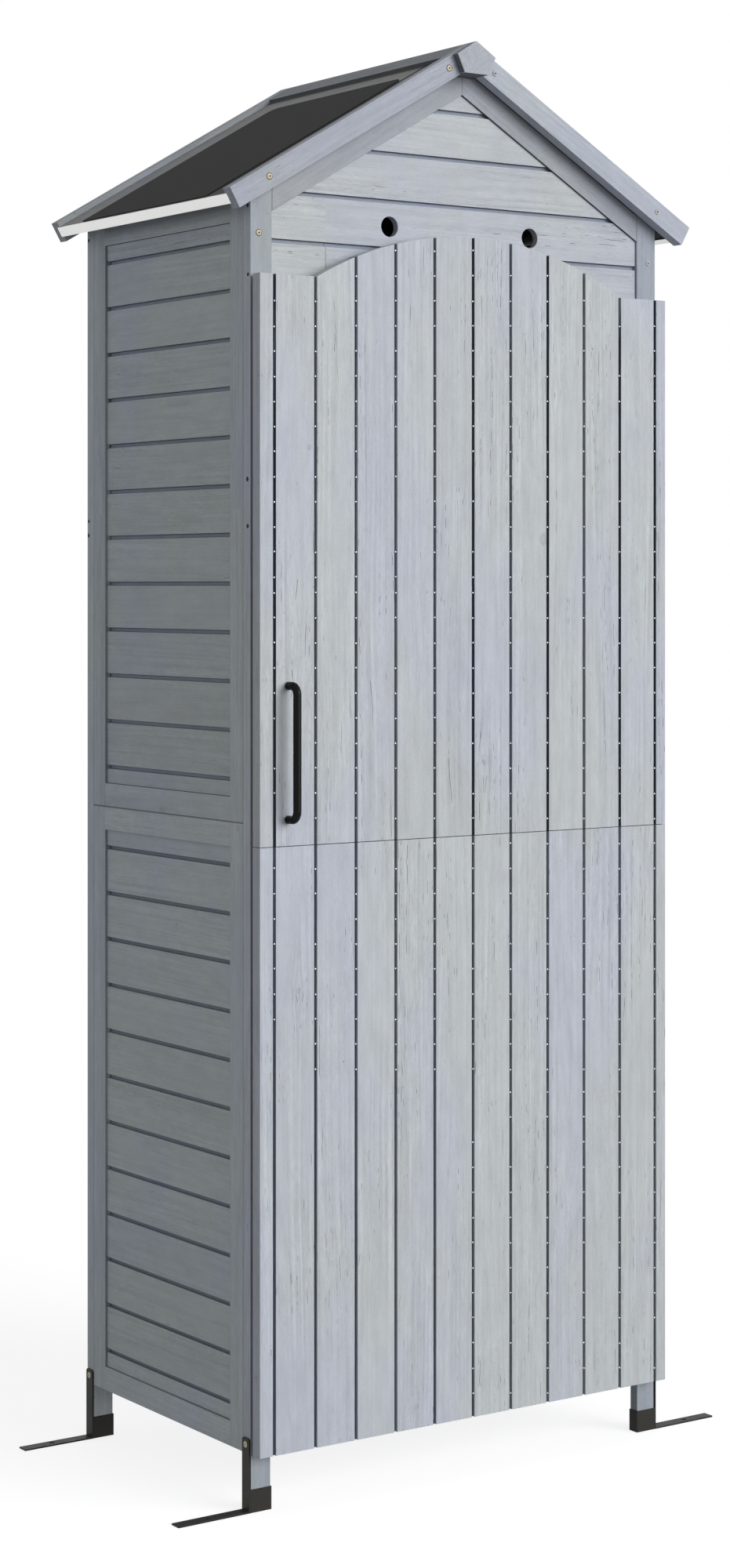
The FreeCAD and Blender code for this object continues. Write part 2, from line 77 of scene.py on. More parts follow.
# View of the photograph: a level camera whose frame is shifted down
EYE = Vector((-2.2243, -3.1993, 1.1091))
VIEW_TURN = math.radians(34.57)
PHOTO_WIDTH = 931
FOCAL_PIXELS = 3808.78
HORIZON_ABOVE_MIDDLE = 254.41
HORIZON_ROW = 745.59

LEFT = Vector((-1.0, 0.0, 0.0))
FRONT = Vector((0.0, -1.0, 0.0))


# Node building

class Tree:
    """Short calls that add nodes to a node tree; a value may be a number or a socket."""

    def __init__(self, tree):
        self.tree = tree

    def node(self, kind, inputs=(), **settings):
        node = self.tree.nodes.new(kind)
        for key, value in settings.items():
            setattr(node, key, value)
        for key, value in dict(inputs).items():
            socket = node.inputs[key]
            if isinstance(value, bpy.types.NodeSocket):
                self.tree.links.new(value, socket)
            else:
                socket.default_value = value
        return node

    def add(self, kind, inputs=(), out=0, **settings):
        return self.node(kind, inputs, **settings).outputs[out]

    def math(self, operation, a, b=0.0, c=0.0):
        return self.add("ShaderNodeMath", {0: a, 1: b, 2: c}, operation=operation)

    def away(self, value, middle):
        """Distance of a value from a middle one."""
        return self.math("ABSOLUTE", self.math("SUBTRACT", value, middle))

    def vec(self, operation, a, b=(0.0, 0.0, 0.0), out=0):
        return self.add("ShaderNodeVectorMath", {0: a, 1: b}, out, operation=operation)

    def scale(self, vector, factor):
        return self.add("ShaderNodeVectorMath", {0: vector, "Scale": factor},
                        operation="SCALE")

    def split(self, vector):
        return self.node("ShaderNodeSeparateXYZ", {0: vector}).outputs[:3]

    def join(self, x, y, z):
        return self.add("ShaderNodeCombineXYZ", {0: x, 1: y, 2: z})

    def noise(self, vector, detail=2.0, roughness=0.5):
        return self.add("ShaderNodeTexNoise", {"Vector": vector, "Scale": 1.0,
                                               "Detail": detail, "Roughness": roughness})

    def drawn_noise(self, vector, scales, detail=2.0, roughness=0.5):
        """Noise with a scale of its own along each axis."""
        return self.noise(self.vec("MULTIPLY", vector, scales), detail, roughness)

    def around_zero(self, value, spread):
        """A value from 0 to 1 as one that is spread evenly around zero."""
        return self.math("MULTIPLY_ADD", value, spread, -spread / 2)

    def step(self, value, low, high, to_low=0.0, to_high=1.0):
        """Smooth ramp from to_low to to_high as the value goes from low to high."""
        return self.add("ShaderNodeMapRange",
                        {"Value": value, "From Min": low, "From Max": high,
                         "To Min": to_low, "To Max": to_high},
                        interpolation_type="SMOOTHSTEP")

    def mix(self, factor, a, b):
        return self.add("ShaderNodeMix", {0: factor, 6: a, 7: b}, 2, data_type="RGBA")

    def mix_vec(self, factor, a, b):
        return self.add("ShaderNodeMix", {0: factor, 4: a, 5: b}, 1, data_type="VECTOR")

    def mix_num(self, factor, a, b):
        return self.add("ShaderNodeMix", {0: factor, 2: a, 3: b}, 0, data_type="FLOAT")

    def place(self):
        """Coordinates in the cabinet's own frame."""
        return self.add("ShaderNodeTexCoord", out=3)

    def facing(self, axis):
        """How squarely the true surface faces along an axis, either way: 0 to 1."""
        surface = self.add("ShaderNodeNewGeometry", out=3)
        return self.math("ABSOLUTE", self.vec("DOT_PRODUCT", surface, axis, out=1))


def linear(red, green, blue):
    """A colour given in everyday 0 to 255 values, as the shader's linear one."""
    def channel(value):
        value /= 255
        return value / 12.92 if value <= 0.04045 else ((value + 0.055) / 1.055) ** 2.4
    return (channel(red), channel(green), channel(blue), 1.0)


def new_material(name):
    material = bpy.data.materials.new(name)
    material.use_nodes = True
    material.node_tree.nodes.clear()
    return material, Tree(material.node_tree)


def finish_material(t, shader):
    t.node("ShaderNodeOutputMaterial", {"Surface": shader})


# Wood

STAIN_BLUE = linear(184, 189, 201)
STAIN_GREEN = linear(187, 192, 195)
# bluer tint of the painted shade in the grooves
GROOVE_SHADE_TINT = (0.9, 0.97, 1.14)


def stain(t, place, lean=0.0):
    """The stain's colour: patches of a bluer and a greener grey."""
    drift = t.drawn_noise(place, (6.0, 6.0, 2.6), 3.0, 0.6)
    return t.mix(t.step(t.math("ADD", drift, lean), 0.36, 0.64), STAIN_BLUE, STAIN_GREEN)


def grain_checks(t, across, along, seed, spacing, run, part, start):
    """Thin cracks along the grain: they lie where a field drawn out along it passes its
    middle value, in lengths that a second field picks out. Gives the crack and its lip, a
    raised edge on one side of it that is also painted lighter as a highlight."""
    beside = 0.0004
    widest, narrowest = 0.0005, 0.00008
    lip_away, lip_reach, lip_core = 0.0009, 0.0006, 0.0001

    def field(shift):
        turned_field = t.math("MULTIPLY_ADD", across, 1 / spacing, shift / spacing)
        return t.noise(t.join(turned_field, t.math("MULTIPLY", along, 1 / run), seed), 0.0)

    here = field(0.0)
    slope = t.math("DIVIDE", t.math("SUBTRACT", field(beside), here), beside)
    steepness = t.math("MULTIPLY", t.math("ABSOLUTE", slope), spacing)
    direction = t.math("MULTIPLY_ADD", t.math("GREATER_THAN", slope, 0.0), 2.0, -1.0)
    safe_slope = t.math("MULTIPLY", direction, t.math("MAXIMUM", t.math("ABSOLUTE", slope),
                                                      0.2 / spacing))
    distance = t.math("DIVIDE", t.math("SUBTRACT", here, 0.5), safe_slope)
    pick = t.noise(t.join(t.math("MULTIPLY", across, 0.7 / spacing),
                          t.math("MULTIPLY", along, 1 / part), seed + 3.7), 1.0)
    present = t.math("MULTIPLY", t.step(t.math("SUBTRACT", pick, start), 0.0, 0.10),
                     t.step(steepness, 0.3, 0.5))
    reach = t.math("MULTIPLY_ADD", present, widest - narrowest, narrowest)
    crack = t.math("MULTIPLY", t.step(present, 0.0, 0.2),
                   t.step(t.math("DIVIDE", t.math("ABSOLUTE", distance), reach), 1.1, 0.4))
    lip_highlight = t.math("MULTIPLY", present, t.step(t.away(distance, lip_away), lip_reach, lip_core))
    return crack, lip_highlight


def fir_group():
    """Thinly stained fir. Grain is in metres: X and Y across the board, Z along it."""
    group = bpy.data.node_groups.new("stained_fir", "ShaderNodeTree")
    for name, kind in (("Grain", "Vector"), ("Board", "Vector"), ("Place", "Vector"),
                       ("Shade", "Float"), ("Side", "Float"), ("Sound", "Float")):
        group.interface.new_socket(name, in_out="INPUT", socket_type="NodeSocket" + kind)
    for name, kind in (("Color", "Color"), ("Roughness", "Float"), ("Height", "Float")):
        group.interface.new_socket(name, in_out="OUTPUT", socket_type="NodeSocket" + kind)
    t = Tree(group)
    grain, board, spot, shade, side, sound = t.node("NodeGroupInput").outputs[:6]
    place = t.vec("ADD", grain, t.scale(board, 7.0))
    u, v, w = t.split(place)
    across = t.math("ADD", u, v)

    # knots: one point per cell, and some of the points have a knot
    cells_across, cells_along, longer = 9.0, 2.0, 1.25
    knot_free = 0.55
    smallest, largest = 0.0011, 0.0048
    flat = t.join(t.math("MULTIPLY", across, cells_across),
                  t.math("MULTIPLY", w, cells_along), 0.0)
    points = t.node("ShaderNodeTexVoronoi", {"Vector": flat, "Scale": 1.0},
                    voronoi_dimensions="2D").outputs
    chance, size, _ = t.split(points["Color"])
    knot_u, knot_w, _ = t.split(t.vec("SUBTRACT", flat, points["Position"]))
    knot_u = t.math("DIVIDE", knot_u, cells_across)
    knot_w = t.math("DIVIDE", knot_w, cells_along * longer)
    distance = t.vec("LENGTH", t.join(knot_u, knot_w, 0.0), out=1)
    present = t.step(chance, knot_free, knot_free + 0.01)
    radius = t.add("ShaderNodeMapRange", {"Value": t.math("POWER", size, 3.0),
                                          "To Min": smallest, "To Max": largest})

    # the grain wanders, and bends round the knots
    sway, push, fade = 0.026, -0.007, -60.0
    wander = t.drawn_noise(place, (5.0, 5.0, 1.3))
    pull = t.math("MULTIPLY", present, t.math("EXPONENT", t.math("MULTIPLY", distance, fade)))
    bend = t.math("MULTIPLY", t.math("SIGN", knot_u), t.math("MULTIPLY", pull, push))
    shift = t.math("ADD", bend, t.around_zero(wander, sway))
    bent = t.vec("ADD", place, t.join(shift, 0.0, 0.0))
    bent_across = t.math("ADD", across, shift)

    ring_count, jitter = 95.0, 0.004
    streak = t.drawn_noise(bent, (190.0, 190.0, 2.6), 3.0, 0.6)
    thread = t.drawn_noise(bent, (430.0, 430.0, 4.5), 1.0)
    fibre = t.drawn_noise(bent, (650.0, 650.0, 75.0), 2.0, 0.6)
    mottle = t.drawn_noise(place, (75.0, 75.0, 24.0), 3.0, 0.6)
    dust = t.drawn_noise(place, (620.0, 620.0, 380.0), 1.0)
    rings = t.drawn_noise(bent, (13.0, 13.0, 0.9), 1.0, 0.4)
    ring_line = t.math("SINE", t.math("MULTIPLY", rings, ring_count))
    ring_line = t.math("POWER", t.math("MULTIPLY_ADD", ring_line, 0.5, 0.5), 3.0)
    wiggle = t.around_zero(t.drawn_noise(place, (30.0, 30.0, 70.0), 2.0, 0.55), jitter)

    ratio = t.math("DIVIDE", t.math("ADD", distance, t.math("MULTIPLY", wiggle, 0.35)), radius)
    core = t.math("MULTIPLY", present, t.step(ratio, 1.1, 0.6))
    ring = t.math("MULTIPLY", present, t.math("MULTIPLY", t.step(ratio, 1.7, 1.1),
                                             t.step(ratio, 0.5, 1.0)))
    checked = t.drawn_noise(place, (16.0, 16.0, 4.0))
    start = t.math("ADD", sound, t.step(checked, 0.38, 0.66, 0.70, 0.50))
    cracks, lip_highlights = zip(*(
        grain_checks(t, t.math("MULTIPLY_ADD", wiggle, amount, bent_across), w, *lengths, start)
        for amount, lengths in ((0.7, (0.5, 0.014, 0.30, 0.040)),
                                (0.8, (7.5, 0.008, 0.12, 0.014)))))
    crack = t.math("MULTIPLY", side, t.math("MAXIMUM", *cracks))
    lip_highlight = t.math("MULTIPLY", side, t.math("MAXIMUM", *lip_highlights))

    # pin holes and resin specks
    speck_free = 0.88
    specks = t.node("ShaderNodeTexVoronoi",
                    {"Vector": t.vec("MULTIPLY", place, (30.0, 30.0, 18.0)),
                     "Scale": 1.0}).outputs
    speck_chance, speck_size, _ = t.split(specks["Color"])
    speck = t.math("MULTIPLY", t.step(speck_chance, speck_free, speck_free + 0.01),
                   t.step(t.math("DIVIDE", specks["Distance"],
                                 t.math("MULTIPLY_ADD", speck_size, 0.026, 0.014)),
                          1.1, 0.6))

    board_tone, board_tint, _ = t.split(board)
    tone = t.math("MULTIPLY_ADD", board_tone, 0.06, 0.97)
    rough = t.step(checked, 0.35, 0.65, 0.45, 1.3)
    for value, amount in ((streak, 0.42), (thread, 0.25), (fibre, 0.30)):
        tone = t.math("MULTIPLY_ADD", rough, t.around_zero(value, amount), tone)
    for value, amount in ((mottle, 0.28), (dust, 0.16)):
        tone = t.math("ADD", tone, t.around_zero(value, amount))
    # the lighter lip is a painted highlight beside the cracks; the other marks are the wood's
    # own
    for mask, loss in ((ring_line, 0.045), (core, 0.12), (ring, 0.16), (crack, 0.62),
                       (speck, 0.5), (lip_highlight, -0.07)):
        tone = t.math("MULTIPLY", tone, t.math("MULTIPLY_ADD", mask, -loss, 1.0))
    tone = t.math("MULTIPLY", tone, shade)
    lean = t.around_zero(board_tint, 0.16)

    height = t.math("ADD", t.math("MULTIPLY", fibre, 0.4), t.math("MULTIPLY", streak, 0.6))
    height = t.math("SUBTRACT", height, t.math("MULTIPLY", crack, 1.4))
    height = t.math("SUBTRACT", height, speck)
    height = t.math("ADD", height, t.math("MULTIPLY", t.math("MAXIMUM", core, lip_highlight), 0.35))
    t.node("NodeGroupOutput", {"Color": t.scale(stain(t, spot, lean), tone),
                               "Roughness": t.math("MULTIPLY_ADD", streak, 0.18, 0.58),
                               "Height": height})
    return group


FIR = fir_group()

# Directions of the grain, for the end grain; the sloped pieces show none
AXES = {"x": (1.0, 0.0, 0.0), "y": (0.0, 1.0, 0.0), "z": (0.0, 0.0, 1.0),
        "slope": (0.0, 0.0, 0.0)}


def square_to_roof(t, x, z):
    """Distance from the origin, measured square to the roof's slopes."""
    return t.math("ADD", t.math("MULTIPLY", t.math("ABSOLUTE", x), math.sin(PITCH)),
                  t.math("MULTIPLY", z, math.cos(PITCH)))


def grain_vector(t, along, x, y, z):
    """Board space from the cabinet's own: X and Y across, Z along the grain."""
    if along == "z":
        return t.join(x, y, z)
    if along == "y":
        return t.join(z, x, y)
    if along == "x":
        return t.join(z, y, x)
    down = t.math("SUBTRACT", t.math("MULTIPLY", t.math("ABSOLUTE", x), math.cos(PITCH)),
                  t.math("MULTIPLY", z, math.sin(PITCH)))
    return t.join(square_to_roof(t, x, z), y, down)


# Cells, in which boards take their grain, start at FAR and are WHOLE wide along the axes on
# which the boards aren't told apart
FAR = -4.5
WHOLE = 9.0

# Beyond half from the middle, upright pieces frame the others
Stile = namedtuple("Stile", "axis middle half")

# A band of another shade between two distances from the middle, if top is given below that
# height. Bands serve as painted shade or light, as dark joint lines, and as a lighter tone.
# The axis roof is the depth below the plane of the bargeboards' top edges.
Seam = namedtuple("Seam", "axis middle low high shade top", defaults=(None,))
SEAM_BLUR = 0.0004

# The last part of each cell, sunk below the boards' face, takes painted shade: it is darkened to
# shade, and to line along both its sides or, with dark_foot, along the lower one, and is tinted
# bluer. end is where along Y it ends in a dark corner of painted shade.
Groove = namedtuple("Groove", "axis start width depth_axis middle face shade line dark_foot end",
                    defaults=(False, None))
GROOVE_BLUR = 0.0002
GROOVE_LINE = 0.0012
GROOVE_SHADE_FROM = 0.0004
GROOVE_SHADE_FULL = 0.0011
CORNER_FROM = 0.0032
CORNER_FULL = 0.0026
CORNER_SHADE = 0.12


def groove_shade(t, groove, axes):
    """Where the groove lies, and its painted shade there."""
    share = t.math("FRACT", t.math("DIVIDE", t.math("SUBTRACT", axes[groove.axis], groove.start),
                                   BOARD_PITCH))
    from_joint = t.math("MULTIPLY", t.math("SUBTRACT", 1.0, share), BOARD_PITCH)
    inside = t.step(from_joint, groove.width + GROOVE_BLUR, groove.width - GROOVE_BLUR)
    depth = t.away(axes[groove.depth_axis], groove.middle)
    sunk = t.step(depth, groove.face - GROOVE_SHADE_FROM, groove.face - GROOVE_SHADE_FULL)
    near = t.math("SUBTRACT", groove.width, from_joint)
    if not groove.dark_foot:
        near = t.math("MINIMUM", from_joint, near)
    shade = t.add("ShaderNodeMapRange", {"Value": near, "From Max": GROOVE_LINE,
                                         "To Min": groove.line, "To Max": groove.shade})
    if groove.end:
        corner = t.step(axes["y"], groove.end - CORNER_FROM, groove.end - CORNER_FULL,
                        1.0, CORNER_SHADE)
        shade = t.math("MULTIPLY", shade, corner)
    return t.math("MULTIPLY", inside, sunk), shade


def wood(name, along, origin=(FAR, FAR, FAR), cell=(WHOLE, WHOLE, WHOLE), split_below=None,
         stile=None, groove=None, seams=(), holes=(), tone=1.0, end_tone=None,
         tint=(1.0, 1.0, 1.0), sound=0.05, gloss=0.5):
    """Stained fir. Each board takes its own grain from the cell that it lies in; cells lie
    side by side only below split_below, if given. holes are (x, z, radius), darker inside
    with painted shade. end_tone is the tone of the end grain, which on the ridge is painted
    light on its front. sound is how free of cracks the wood is, from 0."""
    material, t = new_material(name)
    place = t.place()
    x, y, z = t.split(place)
    axes = {"x": x, "y": y, "z": z}
    index = t.vec("FLOOR", t.vec("DIVIDE", t.vec("SUBTRACT", place, origin), cell))
    grain = grain_vector(t, along, x, y, z)
    if split_below:
        index_x, index_y, index_z = t.split(index)
        lowest = t.math("LESS_THAN", z, split_below)
        index = t.join(t.math("MULTIPLY", index_x, lowest), index_y, index_z)
    if stile:
        offset = t.math("SUBTRACT", axes[stile.axis], stile.middle)
        upright = t.math("GREATER_THAN", t.math("ABSOLUTE", offset), stile.half)
        grain = t.mix_vec(upright, grain, grain_vector(t, "z", x, y, z))
        end = t.math("MULTIPLY", upright, t.math("ADD", t.math("SIGN", offset), 5.0))
        keep = t.math("SUBTRACT", 1.0, upright)
        index_x, index_y, index_z = t.split(index)
        index = t.join(index_x, t.math("ADD", index_y, end), t.math("MULTIPLY", index_z, keep))

    shade = tone
    for seam in seams:
        if seam.axis == "roof" and "roof" not in axes:
            axes["roof"] = t.math("SUBTRACT", RIDGE_HEIGHT * math.cos(PITCH),
                                  square_to_roof(t, x, z))
        distance = t.away(axes[seam.axis], seam.middle)
        inside = t.math("MULTIPLY", t.step(distance, seam.low, seam.low + SEAM_BLUR),
                        t.step(distance, seam.high, seam.high - SEAM_BLUR))
        if seam.top:
            inside = t.math("MULTIPLY", inside, t.math("LESS_THAN", z, seam.top))
        shade = t.math("MULTIPLY", shade, t.math("MULTIPLY_ADD", inside, seam.shade - 1.0, 1.0))
    # painted shade inside the vent holes
    for hole_x, hole_z, radius in holes:
        away = t.vec("LENGTH", t.join(t.math("SUBTRACT", x, hole_x),
                                      t.math("SUBTRACT", z, hole_z), 0.0), out=1)
        shade = t.math("MULTIPLY", shade, t.step(away, radius, radius + SEAM_BLUR, 0.8, 1.0))
    # painted shade in the grooves
    if groove:
        groove_shaded, painted_groove_shade = groove_shade(t, groove, axes)
        shade = t.math("MULTIPLY", shade, t.mix_num(groove_shaded, 1.0, painted_groove_shade))
    side = t.step(t.facing(AXES[along]), 0.8, 0.6)
    if end_tone:
        shade = t.mix_num(side, end_tone, shade)

    board = t.add("ShaderNodeTexWhiteNoise", {"Vector": index}, 1)
    fir = t.node("ShaderNodeGroup", {"Grain": grain, "Board": board, "Place": place,
                                     "Shade": shade, "Side": side, "Sound": sound},
                 node_tree=FIR).outputs
    normal = t.add("ShaderNodeBump", {"Strength": 0.35, "Distance": 0.0006,
                                      "Height": fir["Height"]})
    colour = t.vec("MULTIPLY", fir["Color"], tint)
    # the grooves' painted shade is also tinted bluer
    if groove:
        colour = t.vec("MULTIPLY", colour, t.mix_vec(groove_shaded, (1.0, 1.0, 1.0), GROOVE_SHADE_TINT))
    finish_material(t, t.add("ShaderNodeBsdfPrincipled",
                             {"Base Color": colour, "Roughness": fir["Roughness"],
                              "Normal": normal, "Specular IOR Level": gloss}))
    return material


def wood_edges():
    """The softened edges of the boards: with a worn mottle, pale where they are open as a
    painted highlight, and dark with painted shade where ambient occlusion finds them in a joint.
    """
    material, t = new_material("wood_edges")
    place = t.place()
    occlusion = t.node("ShaderNodeAmbientOcclusion", {"Distance": 0.005}, samples=8).outputs["AO"]
    # painted shade in joints and creases that occlusion finds, and a painted highlight on open
    # edges
    painted_joint_shade = t.step(occlusion, 0.97, 0.80)
    wear = t.math("MULTIPLY_ADD", t.noise(t.scale(place, 90.0)), 0.2, 0.9)
    tone = t.math("MULTIPLY", t.mix_num(painted_joint_shade, 0.98, 0.30), wear)
    finish_material(t, t.add("ShaderNodeBsdfPrincipled",
                             {"Base Color": t.scale(stain(t, place), tone), "Roughness": 0.62}))
    return material


LEFT_AND_RIGHT = (0.0, FAR, FAR)
EACH_END = (0.0, MID_DEPTH, FAR)
POST_SEAM = Seam("x", 0.0, 0.2826, 0.29, 0.35)
PANEL_SEAM = Seam("z", PANEL_SPLIT, -0.0004, 0.0012, 0.34)
RIGHT_HALF_LIGHTER = Seam("x", 0.5, -0.0004, 0.4996, 1.13)
SIDE_TINT = (0.96, 1.0, 0.99)
materials = {
    # Painted light on the posts: their front faces darker as shade under the roof and beside the
    # door, the legs darker as shade under the cabinet, and the rear legs' front faces lighter to
    # lift them out of that shade
    "posts": wood("wood_posts", "z", origin=EACH_END, tone=1.1, sound=0.1,
                  seams=(Seam("y", MID_DEPTH, 0.1974, 0.25, 0.66),
                         Seam("z", 0.0, 0.0, LEG_TOP, 0.64),
                         Seam("y", 0.21, 0.0, 0.03, 1.8, LEG_TOP)),
                  tint=(0.97, 1.0, 1.02)),
    "rails": wood("wood_rails", "x"),
    "ledges": wood("wood_ledges", "x", origin=(FAR, FAR, 0.0), cell=(WHOLE, WHOLE, 0.2)),
    # Painted shadow on the gable rails: near black where the bargeboards hide their upper edge;
    # their other bands are dark joint lines
    "rails_sloped": wood("wood_gable_rails", "slope", origin=EACH_END, tone=0.71,
                         seams=(Seam("y", MID_DEPTH, 0.193, 0.1977, 0.5),
                                Seam("roof", 0.0, 0.018, 0.0256, 0.08),
                                Seam("roof", 0.0, 0.0538, 0.0552, 0.5),
                                Seam("x", 0.0, 0.0, 0.0008, 0.4), POST_SEAM)),
    "barges": wood("wood_bargeboards", "slope", origin=EACH_END, tone=0.84, sound=0.1,
                   seams=(RIGHT_HALF_LIGHTER,), tint=(0.99, 1.0, 1.02), gloss=0.3),
    # Painted light on the ridge: its low tone shades its sloped faces, the band below its
    # shoulder is painted shadow on its lower faces, and end_tone lights its front face
    "ridge": wood("wood_ridge", "y", tone=0.56, end_tone=0.9, sound=0.08,
                  seams=(Seam("z", 0.0, 0.0, RIDGE_SHOULDER, 0.5),), tint=(1.0, 1.0, 0.98),
                  gloss=0.15),
    # Painted shade on the decks: near black behind the front bargeboards and in the gap under
    # them, and darker beside the ridge, which shades them
    "decks": wood("wood_decks", "y", origin=LEFT_AND_RIGHT, tone=0.6,
                  seams=(Seam("y", FELT_FRONT, 0.0, 0.046, 0.1),
                         Seam("x", 0.0, 0.0, 0.035, 0.35)),
                  tint=(1.04, 1.0, 0.94), gloss=0.15),
    "cleats": wood("wood_cleats", "y", origin=(0.0, FAR, 0.0), cell=(WHOLE, WHOLE, 0.3)),
    "slats": wood("wood_slats", "z", origin=(SLAT_ORIGIN, FAR, DOOR_SPLIT),
                  cell=(BOARD_PITCH, WHOLE, WHOLE), sound=0.0,
                  groove=Groove("x", SLAT_ORIGIN, SLAT_GROOVE, "y", 0.0, -DOOR_FRONT,
                                0.24, 0.14)),
    "gable": wood("wood_gable", "x", origin=(SHORT_BOARD_END, FAR, GABLE_BASE),
                  cell=(WHOLE, WHOLE, BOARD_PITCH), split_below=GABLE_BASE,
                  groove=Groove("z", GABLE_BASE, BOARD_GROOVE, "y", MID_DEPTH, GABLE_REACH,
                                0.6, 0.38),
                  seams=(POST_SEAM, Seam("x", SHORT_BOARD_END, 0.0, 0.0009, 0.4, GABLE_BASE)),
                  holes=VENTS, tone=0.95, tint=(1.0, 1.0, 0.98)),
    "shelves": wood("wood_shelves", "x", origin=(FAR, POST_BACK, FAR),
                    cell=(WHOLE, SHELF_BOARD_PITCH, WHOLE)),
}
# side_tone lifts the lower side with painted light, where the floor lights it less; shades are
# the painted shade and line of the grooves
for level, joint, middle, side_tone, shades in (
        ("lower", LOWER_JOINT, 0.4465, 1.07, (0.45, 0.12)),
        ("upper", UPPER_JOINT, 1.2, 1.0, (0.6, 0.2))):
    materials["side_boards_" + level] = wood(
        "wood_side_boards_" + level, "y", origin=(0.0, FAR, joint),
        cell=(WHOLE, WHOLE, BOARD_PITCH), tone=side_tone, sound=0.12, tint=SIDE_TINT,
        groove=Groove("z", joint, BOARD_GROOVE, "x", 0.0, SIDE_FACE, *shades, True,
                      MID_DEPTH + STILE_INNER))
    # Painted shade on the side frames: the band at the side face darkens the step down to the
    # boards; the other bands are dark joint lines
    materials["side_frame_" + level] = wood(
        "wood_side_frame_" + level, "y", origin=(0.0, FAR, middle),
        stile=Stile("y", MID_DEPTH, STILE_INNER), tone=1.05 * side_tone, sound=0.14,
        tint=SIDE_TINT, seams=(Seam("x", 0.0, 0.309, 0.3136, 0.5),
                               Seam("y", MID_DEPTH, 0.1808, 0.19, 0.5), PANEL_SEAM))
    materials["back_boards_" + level] = wood(
        "wood_back_boards_" + level, "x", origin=(FAR, FAR, joint),
        cell=(WHOLE, WHOLE, BOARD_PITCH),
        groove=Groove("z", joint, BOARD_GROOVE, "y", 0.0, BACK_FACE, *shades, True))
    # Painted shade on the back frames: the band at the back face darkens the step down to the
    # boards; the other band is a dark joint line
    materials["back_frame_" + level] = wood(
        "wood_back_frame_" + level, "x", origin=(FAR, FAR, middle),
        stile=Stile("x", 0.0, BACK_STILE_INNER),
        seams=(Seam("y", 0.0, 0.205, 0.2095, 0.5), PANEL_SEAM))


# Other materials

def speckled(name, colour, spread, roughness, scale, bump, metallic=0.0, gloss=0.5):
    """A painted, moulded or plated surface with a fine mottle."""
    material, t = new_material(name)
    place = t.place()
    fine = t.noise(t.scale(place, scale), 3.0, 0.6)
    broad = t.noise(t.scale(place, scale * 0.06))
    tone = t.math("ADD", t.math("MULTIPLY_ADD", fine, spread, 1.0 - spread / 2),
                  t.around_zero(broad, spread))
    normal = t.add("ShaderNodeBump", {"Strength": bump, "Distance": 0.0002, "Height": fine})
    rough = t.math("MULTIPLY_ADD", broad, 0.16, roughness - 0.08)
    finish_material(t, t.add("ShaderNodeBsdfPrincipled",
                             {"Base Color": t.scale(linear(*colour)[:3], tone),
                              "Roughness": rough, "Normal": normal, "Metallic": metallic,
                              "Specular IOR Level": gloss}))
    return material


# Key, name, colour, spread, roughness, scale, bump, and for some metallic and gloss
for key, *look in (
        ("felt", "roof_felt", (50, 50, 51), 0.5, 0.9, 1500.0, 0.6, 0.0, 0.15),
        ("drip", "white_drip_edge", (237, 237, 236), 0.04, 0.4, 300.0, 0.1, 0.85),
        ("bracket", "bracket_paint", (46, 47, 43), 0.25, 0.45, 900.0, 0.3, 0.0, 0.15),
        ("cap", "foot_cap_plastic", (44, 42, 38), 0.35, 0.6, 500.0, 0.5, 0.0, 0.2),
        ("handle", "handle_paint", (9, 9, 10), 0.2, 0.28, 900.0, 0.1, 0.0, 0.12),
        ("zinc", "zinc_plate", (158, 157, 152), 0.2, 0.42, 700.0, 0.1, 0.9),
        ("screw", "yellow_zinc_plate", (166, 158, 138), 0.3, 0.5, 900.0, 0.2, 0.7),
        ("nail", "bright_nail_steel", (236, 238, 242), 0.2, 0.4, 900.0, 0.2, 0.4),
        ("catch", "catch_plastic", (206, 206, 202), 0.1, 0.45, 700.0, 0.1),
        # painted shade for the nail pits and the stile screws' recesses
        ("dark", "painted_hollow_shade", (14, 13, 12), 0.4, 0.8, 900.0, 0.2),
        # painted shade in the screws' cross recesses and in the ring round each screw
        ("recess_shade", "painted_recess_shade", (78, 68, 56), 0.4, 0.6, 900.0, 0.2),
        ("painted", "stained_over_screw", (176, 178, 182), 0.25, 0.5, 900.0, 0.4)):
    materials[key] = speckled(*look)

# Beginnings of the nodes' names and what they are finished with
FINISHES = (
    ("post_", "posts"), ("foot_cap", "cap"), ("ground_bracket", "bracket"),
    ("sill_rail", "rails"), ("header_rail", "rails"), ("ridge_beam", "ridge"),
    ("gable_rails", "rails_sloped"), ("gable_boards", "gable"), ("vent_board", "gable"),
    ("bargeboard", "barges"), ("roof_deck", "decks"), ("roof_felt", "felt"),
    ("drip_edge", "drip"), ("frame_screws", "zinc"), ("floor_boards", "shelves"),
    ("shelf_boards", "shelves"), ("cleats", "cleats"), ("magnetic_catches", "catch"),
    ("hinge_", "zinc"), ("door_slats", "slats"), ("door_ledges", "ledges"),
    ("handle_screws", "zinc"), ("handle", "handle"), ("strike_plates", "zinc"),
)


def finish_of(name):
    for side in ("_left", "_right"):
        name = name.replace(side, "")
    if name in materials:
        return materials[name]
    for start, key in FINISHES:
        if name.startswith(start):
            return materials[key]
    raise ValueError("no finish for " + name)


